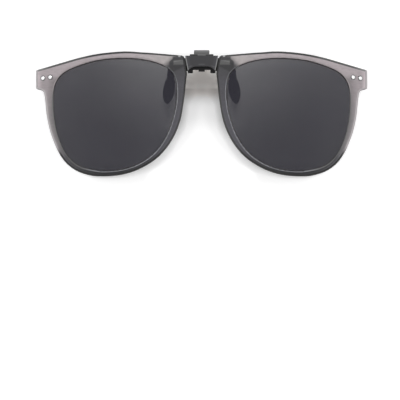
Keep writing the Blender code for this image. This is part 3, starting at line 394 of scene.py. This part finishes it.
def rim_line():
    """The bevel next to the lens: a line of light, but for the shaded top of the opening."""
    n = new_material("rim_line")
    x, y, z = n.place()
    aside = n.size(x)
    nasal = n.mix(n.step(z, -8.0, -1.0), (0.36, 0.365, 0.395), (0.20, 0.203, 0.215))
    dark_side = n.mix(n.step(aside, 24.0, 32.0), nasal, (0.26, 0.265, 0.285))
    dark_side = n.mix(n.step(aside, 44.0, 54.0), dark_side, grey(0.10))
    wrap = n.times(n.plus(n.times(x, x), n.times(z, z)), WRAP_BEND)
    depth = n.minus(n.minus(y, BEVEL_Y / MM), wrap)
    shaded = n.mix(n.step(depth, 0.28, 0.38), (0.50, 0.45, 0.46), grey(0.022))
    tone = n.mix(opening_top(n), n.mix(rim_painted_light(n), dark_side, grey(0.19)), shaded)
    return polished(n, tone, 0.1)


def tinted_lens():
    """Smoky lens that lets a little more light through by the nose, at the top."""
    n = new_material("tinted_lens")
    x, _, z = n.place()
    inward = n.times(n.minus(n.size(x), 12.0), 0.7)
    tint = n.step(n.distance(inward, z), 0.0, 37.0, 0.624, 0.762)
    cloud = n.vary(n.noise(0.05), -0.004, 0.004)
    smoke = n.vary(n.noise(0.02))
    return n.surface(
        Base_Color=n.mix(smoke, (0.0255, 0.0243, 0.0340), (0.0285, 0.0270, 0.0390)),
        Roughness=n.vary(n.noise(0.4), 0.10, 0.13),
        IOR=LENS_IOR,
        Alpha=n.plus(tint, cloud),
    )


def lens_edge():
    """The lens's border, where the top of the rim keeps the light off it."""
    n = new_material("lens_edge")
    speck = n.noise(2.0)
    return n.surface(
        Base_Color=n.mix(n.vary(speck), (0.020, 0.016, 0.018), (0.024, 0.019, 0.021)),
        Roughness=n.vary(speck, 0.10, 0.13),
        IOR=LENS_IOR,
        Alpha=n.step(opening_top(n), 0.0, 1.0, 0.70, 0.97),
    )


def plastic(name, colour, roughness):
    """Moulded plastic or rubber of one colour, with a fine grain."""
    n = new_material(name)
    grain = n.noise(4.0)
    lighter = tuple(c * 1.2 for c in colour)
    return n.surface(
        Base_Color=n.mix(n.vary(n.noise(0.6)), colour, lighter),
        Roughness=n.vary(grain, roughness - 0.05, roughness + 0.05),
        Specular_IOR_Level=PLASTIC_GLOSS,
        Normal=n.bump(grain, 0.1),
    )


def bracket_coat():
    """Gunmetal plate with painted highlights along its side chamfers, on a black casting with grey
    lugs.
    """
    n = new_material("bracket_coat")
    x, y, z = n.place()
    aside = n.size(x)
    inside = n.minus(n.plus(n.times(n.plus(z, 0.6), 0.194), 6.0), aside)
    plate = n.mix(n.step(inside, 0.4, 2.6), (0.047, 0.0465, 0.052), (0.031, 0.0305, 0.033))

    # A line of light over the arch, with a break on either side of its middle
    over_arch = n.plus(z, n.times(n.times(x, x), 0.0385))
    shine = n.most(n.fall(aside, 0.8, 1.8), n.step(aside, 3.6, 4.8))
    shine = n.times(shine, n.near(over_arch, 2.35, 0.08, 0.32))
    plate = n.mix(shine, plate, (0.066, 0.066, 0.071))

    # Painted highlight along the plate's side chamfers
    plate = n.mix(n.fall(inside, 0.38, 0.50), plate, grey(0.20))
    # Painted shade: faces that turn up or down are near black
    plate = n.mix(n.step(n.size(n.facing()[2]), 0.3, 0.6), plate, grey(0.010))
    # The lugs are painted grey for the light they catch inside the rim's socket
    back = n.mix(n.step(aside, 7.9, 8.1), grey(0.006), grey(0.35))
    on_plate = n.times(n.fall(y, -7.75, -7.65), n.step(inside, -0.06, -0.01))
    speck = n.noise(5.0)
    return n.surface(
        Base_Color=n.mix(on_plate, back, plate),
        Roughness=n.vary(speck, 0.40, 0.48),
        Specular_IOR_Level=0.3,
        Normal=n.bump(speck, 0.05),
    )


def cap_coat():
    """Grey cap of the clamp's lever, with painted light on its top and a painted highlight along
    its lower lip.
    """
    n = new_material("cap_coat")
    z = n.place()[2]
    # Painted light: paler towards the top, and a painted highlight along the lower lip
    tone = n.mix(n.step(z, 7.2, 8.6), grey(0.135), grey(0.24))
    tone = n.mix(n.fall(z, 6.75, 7.0), tone, grey(0.20))
    speck = n.noise(4.0)
    return n.surface(
        Base_Color=n.mix(n.vary(speck, 0.0, 0.15), tone, grey(0.2)),
        Roughness=n.vary(speck, 0.42, 0.5),
        Specular_IOR_Level=PLASTIC_GLOSS,
        Normal=n.bump(speck, 0.1),
    )


def stud_metal():
    """Bright rivet head, with painted shade round its rim where it turns away from the front."""
    n = new_material("stud_metal")
    speck = n.noise(3.0)
    # Painted shade: the head is dark where it turns away from the front
    head = n.step(n.front(), 0.86, 0.93)
    return n.surface(
        Base_Color=n.mix(head, n.mix(speck, grey(0.10), grey(0.16)), grey(0.9)),
        Roughness=n.vary(speck, 0.25, 0.32),
        Metallic=n.step(head, 0.0, 1.0, 0.6, 1.0),
    )


def metal(name, colour, roughness):
    """Drawn metal, with fine streaks along it."""
    n = new_material(name)
    streak = n.noise(2.0, stretch=(1.0, 1.0, 4.0))
    return n.surface(
        Base_Color=n.mix(n.vary(streak), colour, tuple(c * 1.15 for c in colour)),
        Roughness=n.vary(streak, roughness - 0.04, roughness + 0.04),
        Metallic=1.0,
    )


def add_object(name, data):
    """A new object in the scene."""
    obj = bpy.data.objects.new(name, data)
    bpy.context.scene.collection.objects.link(obj)
    return obj


def even_shading(obj):
    """Shading that keeps flat faces flat beside rounded edges."""
    weighted = obj.modifiers.new("weighted", "WEIGHTED_NORMAL")
    weighted.weight = 100
    weighted.keep_sharp = True


def dress(names, material):
    """Gives CAD nodes a material and even shading."""
    for name in names:
        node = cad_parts[name]
        node.data.materials.clear()
        node.data.materials.append(material)
        weld = node.modifiers.new("weld", "WELD")
        weld.merge_threshold = WELD
        even_shading(node)


def wrap_normal(point):
    """Which way the wrapped front faces at a point."""
    return Vector((point.x / WRAP_RADIUS, -1.0, point.z / WRAP_RADIUS)).normalized()


def front_faces(bm):
    """The faces that look the way the wrapped front does."""
    return [f for f in bm.faces if f.normal.angle(wrap_normal(f.calc_center_median())) < FACE_TILT]


def boundary_loops(faces):
    """The closed rings of points round a patch of faces, the widest ring first."""
    links = {}
    for f in faces:
        for edge in f.edges:
            if sum(other in faces for other in edge.link_faces) == 1:
                for vert in edge.verts:
                    links.setdefault(vert, set()).update(edge.verts)
    rings = []
    while links:
        ring, queue = set(), [next(iter(links))]
        while queue:
            vert = queue.pop()
            if vert in links:
                ring.add(vert)
                queue.extend(links.pop(vert))
        rings.append(ring)
    return sorted(rings, key=lambda ring: min(v.co.x for v in ring) - max(v.co.x for v in ring))


def joined_mesh(node):
    """A copy of a CAD node's mesh for editing, with its faces joined at their points."""
    bm = bmesh.new()
    bm.from_mesh(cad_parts[node].data)
    bmesh.ops.remove_doubles(bm, verts=bm.verts, dist=WELD)
    bm.normal_update()
    return bm


def new_piece(name, bm, materials):
    """An object of the edited mesh."""
    mesh = bpy.data.meshes.new(name)
    bm.to_mesh(mesh)
    bm.free()
    for material in materials:
        mesh.materials.append(material)
    piece = add_object(mesh.name, mesh)
    mesh.set_sharp_from_angle(angle=SHARP_ANGLE)
    even_shading(piece)
    return piece


def ease(value, low, high):
    """0 below low and 1 above high, with a smooth rise between them."""
    part = min(max((value - low) / (high - low), 0.0), 1.0)
    return part * part * (3 - 2 * part)


def let_out(bm):
    """Lets the lower outer edge of a rim out by a hair, but no lower than the rim reaches."""
    lowest = min(vert.co.z for vert in bm.verts)
    for vert in bm.verts:
        aside = abs(vert.co.x) - LENS_X
        below = LENS_Z - vert.co.z
        turn = math.degrees(math.atan2(below, aside))
        arc = ease(turn, *LET_OUT_START) * (1 - ease(turn, *LET_OUT_END))
        ring = ease(math.hypot(aside / OPENING_X, below / OPENING_Z), *LET_OUT_RING)
        grow = LET_OUT * arc * ring / math.hypot(aside, below)
        vert.co.x += math.copysign(aside * grow, vert.co.x)
        vert.co.z = max(vert.co.z - below * grow, lowest)


def make_rim(side, face, edge, line):
    """A rim with its front face set in from the rounded edges by a narrow polished band."""
    node = f"rim_{side}"
    bm = joined_mesh(node)
    bmesh.ops.dissolve_degenerate(bm, edges=bm.edges, dist=WELD)
    let_out(bm)
    bm.normal_update()
    front = front_faces(bm)

    # After the outline come the ring of the opening and, further back, that of the groove
    openings = boundary_loops(set(front))[1:3]
    opening = min(openings, key=lambda ring: sum(v.co.y for v in ring) / len(ring))
    bevel = {f for vert in opening for f in vert.link_faces}.difference(front)
    band = {"thickness": RIM_BAND, "use_boundary": True, "use_even_offset": True}
    inset = bmesh.ops.inset_region(bm, faces=front, **band)
    front += [f for f in inset["faces"] if opening.intersection(f.verts)]
    for f in bm.faces:
        centre = f.calc_center_median()
        sunk = centre.y - BEVEL_Y - (centre.x ** 2 + centre.z ** 2) / WRAP_RADIUS / 2
        f.material_index = 2 if f in bevel else 0 if sunk > EDGE_DEPTH else 1
        f.smooth = True
    for f in front:
        f.material_index = 0
    rim = new_piece(f"frosted_{node}", bm, (face, edge, line))
    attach(rim, "flip_front")
    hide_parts(node)


def make_lens(side, glass, edge):
    """A lens with a border along its front face, over the rim's groove and just inside it."""
    node = f"lens_{side}"
    bm = joined_mesh(node)
    front = front_faces(bm)
    inset = bmesh.ops.inset_region(bm, faces=front, thickness=LENS_BORDER, use_boundary=True)
    for f in bm.faces:
        f.smooth = True
        f.material_index = 0
    for f in inset["faces"]:
        f.material_index = 1
    lens = new_piece(f"glass_{node}", bm, (glass, edge))
    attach(lens, "flip_front")
    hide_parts(node)


def area_light(name, place, size, level):
    """A square lamp that gives this level on a white card facing it at the lamps' aim."""
    data = bpy.data.lights.new(name, "AREA")
    data.shape = "SQUARE"
    data.size = size
    beam = Vector(LAMP_AIM) - Vector(place)
    data.energy = level * (math.pi * beam.length) ** 2
    lamp = add_object(name, data)
    lamp.location = place
    lamp.rotation_euler = beam.to_track_quat("-Z", "Y").to_euler()
    return lamp


def make_camera():
    """A camera square to the front, far enough away for the photograph's flat perspective."""
    data = bpy.data.cameras.new("camera")
    camera = add_object("camera", data)
    width = FRAME_PIXELS * PIXEL
    data.lens = data.sensor_width * CAMERA_DISTANCE / width
    middle = FRAME_PIXELS / 2
    x = (middle - ORIGIN_PIXEL[0]) * PIXEL
    z = (ORIGIN_PIXEL[1] - middle) * PIXEL
    camera.location = (x, -CAMERA_DISTANCE, CAMERA_Z)
    camera.rotation_euler = (math.radians(90), 0, 0)
    data.shift_y = (z - CAMERA_Z) / width
    data.clip_start = CAMERA_NEAREST
    bpy.context.scene.camera = camera


def seen_rays(n):
    """Whether a ray comes from the camera, a reflection or a transmission."""
    path = n.add("LightPath").outputs
    return n.most(path["Is Camera Ray"], path["Is Glossy Ray"], path["Is Transmission Ray"])


def bare_floor(n):
    """1 where nothing lies over the floor, so that no painted shade is left where the front was."""
    cover = n.add("AmbientOcclusion", samples=16)
    cover.inputs["Distance"].default_value = COVER_REACH
    return n.step(cover.outputs["AO"], 0.93, 0.99)


def past_rim(n):
    """How far the floor's point lies outside a rim's edge."""
    x, _, z = n.place()
    out_x = n.minus(n.size(x), LENS_X / MM)
    out_z = n.times(n.minus(z, LENS_Z / MM), 1.05)
    rim_reach = n.plus(n.times(n.math("MAXIMUM", n.plus(z, 32.0), 0.0), 0.215), 26.7)
    return n.minus(n.distance(out_x, out_z), rim_reach)


def nose_gap(n):
    """1 at the height of the gap between the rims, under the bridge."""
    z = n.place()[2]
    return n.times(n.step(z, -14.0, -9.0), n.fall(z, 0.0, 3.0))


def paper_colour(n, warm_gap_shade):
    """White, but with painted shade in the gap between the rims, warmer and darker there."""
    x, _, z = n.place()
    # Painted shade in the gap, darkest in its top corners
    tint = n.mix(n.step(z, -8.0, -4.0), (0.99, 0.94, 0.90), (0.92, 0.865, 0.82))
    corner = n.times(n.step(n.size(x), 2.5, 6.0), n.step(z, -5.0, -1.0))
    tint = n.mix(corner, tint, (0.70, 0.69, 0.67))
    return n.mix(warm_gap_shade, grey(1.0), tint)


def paper_glow(n, off, bare, warm_gap_shade):
    """How far the paper glows for the camera, a painted light: most of all away from the glasses,
    less in the gap.
    """
    x, _, z = n.place()
    aside = n.size(x)
    around = n.most(n.step(aside, 42.0, 62.0), n.step(z, 4.0, 12.0), n.fall(z, -60.0, -50.0))
    between = n.times(n.step(off, 1.5, 4.5), n.fall(z, -31.0, -16.0))
    between = n.times(between, n.fall(aside, 20.0, 27.0))
    behind_pad = n.times(n.near(aside, 15.5, 1.5, 4.5), n.near(z, -21.0, 2.5, 7.5, 0.9))
    beyond = n.most(around, between, behind_pad, bare)
    # Painted shade: less glow in the gap
    dim = n.times(warm_gap_shade, n.step(z, -9.0, -6.5, 0.05, 0.0))
    return n.minus(n.step(beyond, 0.0, 1.0, 0.06, 0.20), dim)


def rim_shade(n, off, bare):
    """What is left of the light close to a rim's edge, on the nose side and below."""
    x, _, z = n.place()
    deep = n.most(
        n.step(z, -32.0, -22.0, 0.86, 0.66),
        n.step(z, -45.0, -41.0, 0.97, 0.60),
        n.step(z, -9.5, -7.5),
    )
    spread = n.step(z, -16.0, -10.0, 3.4, 6.5)
    contact = n.step(n.math("DIVIDE", off, spread), -0.08, 1.0, deep, 1.0)
    return n.most(contact, n.step(n.size(x), 36.0, 44.0), n.fall(off, -4.0, -2.5), bare)


def bridge_shade(n, gap):
    """What is left of the light in the gap under the bridge, on either side of the clamp."""
    x, _, z = n.place()
    aside = n.size(x)
    band = n.most(n.step(z, -4.2, -2.6), n.fall(z, -6.2, -4.6))
    band = n.times(n.times(band, gap), n.step(z, -9.5, -7.5))
    band = n.times(band, n.fall(aside, 8.0, 11.0))
    return n.flip(n.times(n.times(band, n.step(aside, 1.5, 6.0)), BRIDGE_SHADE))


def surface_paper():
    """Paper that the camera sees nearly white, with soft shade round the glasses, partly cast and
    partly painted.
    """
    n = new_material("surface")
    x = n.place()[0]
    seen = seen_rays(n)
    off = past_rim(n)
    bare = bare_floor(n)
    gap = nose_gap(n)
    # Mask for the painted shade and the warmer colour in the gap
    warm_gap_shade = n.times(n.fall(n.size(x), 6.0, 12.0), gap)
    shade = n.times(rim_shade(n, off, bare), bridge_shade(n, gap))
    shaded = n.blend(paper_colour(n, warm_gap_shade), n.mix(shade, grey(0.0), grey(1.0)))
    card = n.add("BsdfDiffuse")
    n.put(card.inputs["Color"], n.mix(seen, grey(0.75), shaded))
    glow = n.add("Emission")
    n.put(glow.inputs["Strength"], n.times(n.times(seen, paper_glow(n, off, bare, warm_gap_shade)), shade))
    lit = n.add("AddShader")
    n.put(lit.inputs[0], card.outputs[0])
    n.put(lit.inputs[1], glow.outputs[0])
    choose = n.add("MixShader")
    n.put(choose.inputs[0], n.add("NewGeometry").outputs["Backfacing"])
    n.put(choose.inputs[1], lit.outputs[0])
    n.put(choose.inputs[2], n.add("BsdfTransparent").outputs[0])
    n.put(n.tree.nodes["Material Output"].inputs["Surface"], choose.outputs[0])
    return n.owner


def make_surface():
    """The white surface that the glasses lie on. From behind, it is clear."""
    half = SURFACE_HALF
    rise = half * SURFACE_SLOPE
    low, high = SURFACE_Y - rise, SURFACE_Y + rise
    mesh = bpy.data.meshes.new("surface")
    corners = [(-half, low, -half), (half, low, -half), (half, high, half), (-half, high, half)]
    mesh.from_pydata(corners, [], [(0, 1, 2, 3)])
    mesh.materials.append(surface_paper())
    surface = add_object("surface", mesh)


def make_world():
    """A plain white surround. The camera sees it at full white."""
    world = bpy.data.worlds.new("surround")
    bpy.context.scene.world = world
    n = Nodes(world)
    background = n.tree.nodes["Background"]
    n.put(background.inputs["Color"], grey(1.0))
    n.put(background.inputs["Strength"], n.step(seen_rays(n), 0.0, 1.0, WORLD_LEVEL, 1.0))


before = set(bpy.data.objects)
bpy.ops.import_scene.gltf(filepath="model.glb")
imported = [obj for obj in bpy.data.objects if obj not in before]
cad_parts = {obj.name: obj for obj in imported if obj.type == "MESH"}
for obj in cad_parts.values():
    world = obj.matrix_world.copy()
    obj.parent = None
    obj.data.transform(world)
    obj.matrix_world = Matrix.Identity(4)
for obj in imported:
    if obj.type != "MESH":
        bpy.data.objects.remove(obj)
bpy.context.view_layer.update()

make_camera()
rim_materials = frosted_rim(), rim_edge(), rim_line()
for side in ("left", "right"):
    make_rim(side, *rim_materials)
lens_materials = tinted_lens(), lens_edge()
for side in ("left", "right"):
    make_lens(side, *lens_materials)
dress(["bridge_bracket"], bracket_coat())
dress(["lever_cap"], cap_coat())
dress(["clamp_body", "rear_jaw"], plastic("black_plastic", grey(0.007), 0.42))
pads = [f"{place}_pad_{side}" for place in ("front", "rear") for side in ("left", "right")]
dress(pads, plastic("black_rubber", grey(0.014), 0.75))
studs = [f"stud_{side}_{place}" for side in ("left", "right") for place in ("inner", "outer")]
dress(studs, stud_metal())
steel = metal("steel", (0.50, 0.50, 0.51), 0.3)
dress(["lug_screw_left", "lug_screw_right", "flip_axle"], steel)
dress(["detent_leaf", "jaw_pin", "jaw_spring"], steel)

make_surface()
make_world()
key = area_light(*KEY_LAMP)
for lamp in SIDE_LAMPS:
    area_light(*lamp)

# Rims, lenses, studs and pads let the key light through: the painted shade stands for theirs
blockers = bpy.data.collections.new("key_blockers")
for name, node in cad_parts.items():
    if not name.startswith(("rim_", "lens_", "stud_", "front_pad", "rear_pad")):
        blockers.objects.link(node)
key.light_linking.blocker_collection = blockers

bpy.context.scene.view_settings.view_transform = "Standard"
